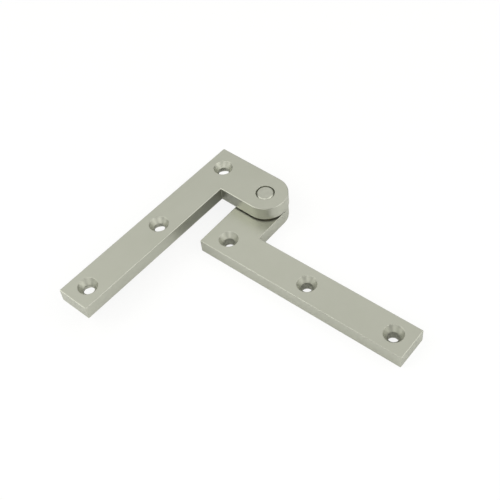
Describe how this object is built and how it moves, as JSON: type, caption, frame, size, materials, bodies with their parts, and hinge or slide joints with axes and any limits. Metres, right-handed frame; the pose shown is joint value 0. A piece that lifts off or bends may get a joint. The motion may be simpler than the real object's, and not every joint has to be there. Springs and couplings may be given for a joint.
{
  "type": "offset pivot hinge",
  "caption": "Offset knife hinge: two flat L-shaped leaves, one above the other, that turn past each other on a flush pin, with countersunk screw holes.",
  "frame": {"origin": "on the pivot pin's axis, in the plane of the lower leaf's underside", "axes": "+Z along the pin towards the upper leaf; +X along the lower leaf's arm towards its free end"},
  "size_m": [0.1227, 0.0988, 0.0135],
  "materials": {
    "leaf_plating": "satin nickel plating over brass, with softened edges",
    "pin_steel": "turned, nickel plated, chamfered end",
    "washer_brass": "plain stamped brass"
  },
  "bodies": {
    "lower": {"lower_leaf": "leaf_plating", "pivot_pin": "pin_steel", "thrust_washer": "washer_brass"},
    "upper": {"upper_leaf": "leaf_plating"}
  },
  "joints": [
    {"name": "pivot", "type": "hinge", "parent": "lower", "child": "upper", "pos_m": [0, 0, 0], "axis": [0, 0, 1], "continuous": true}
  ]
}
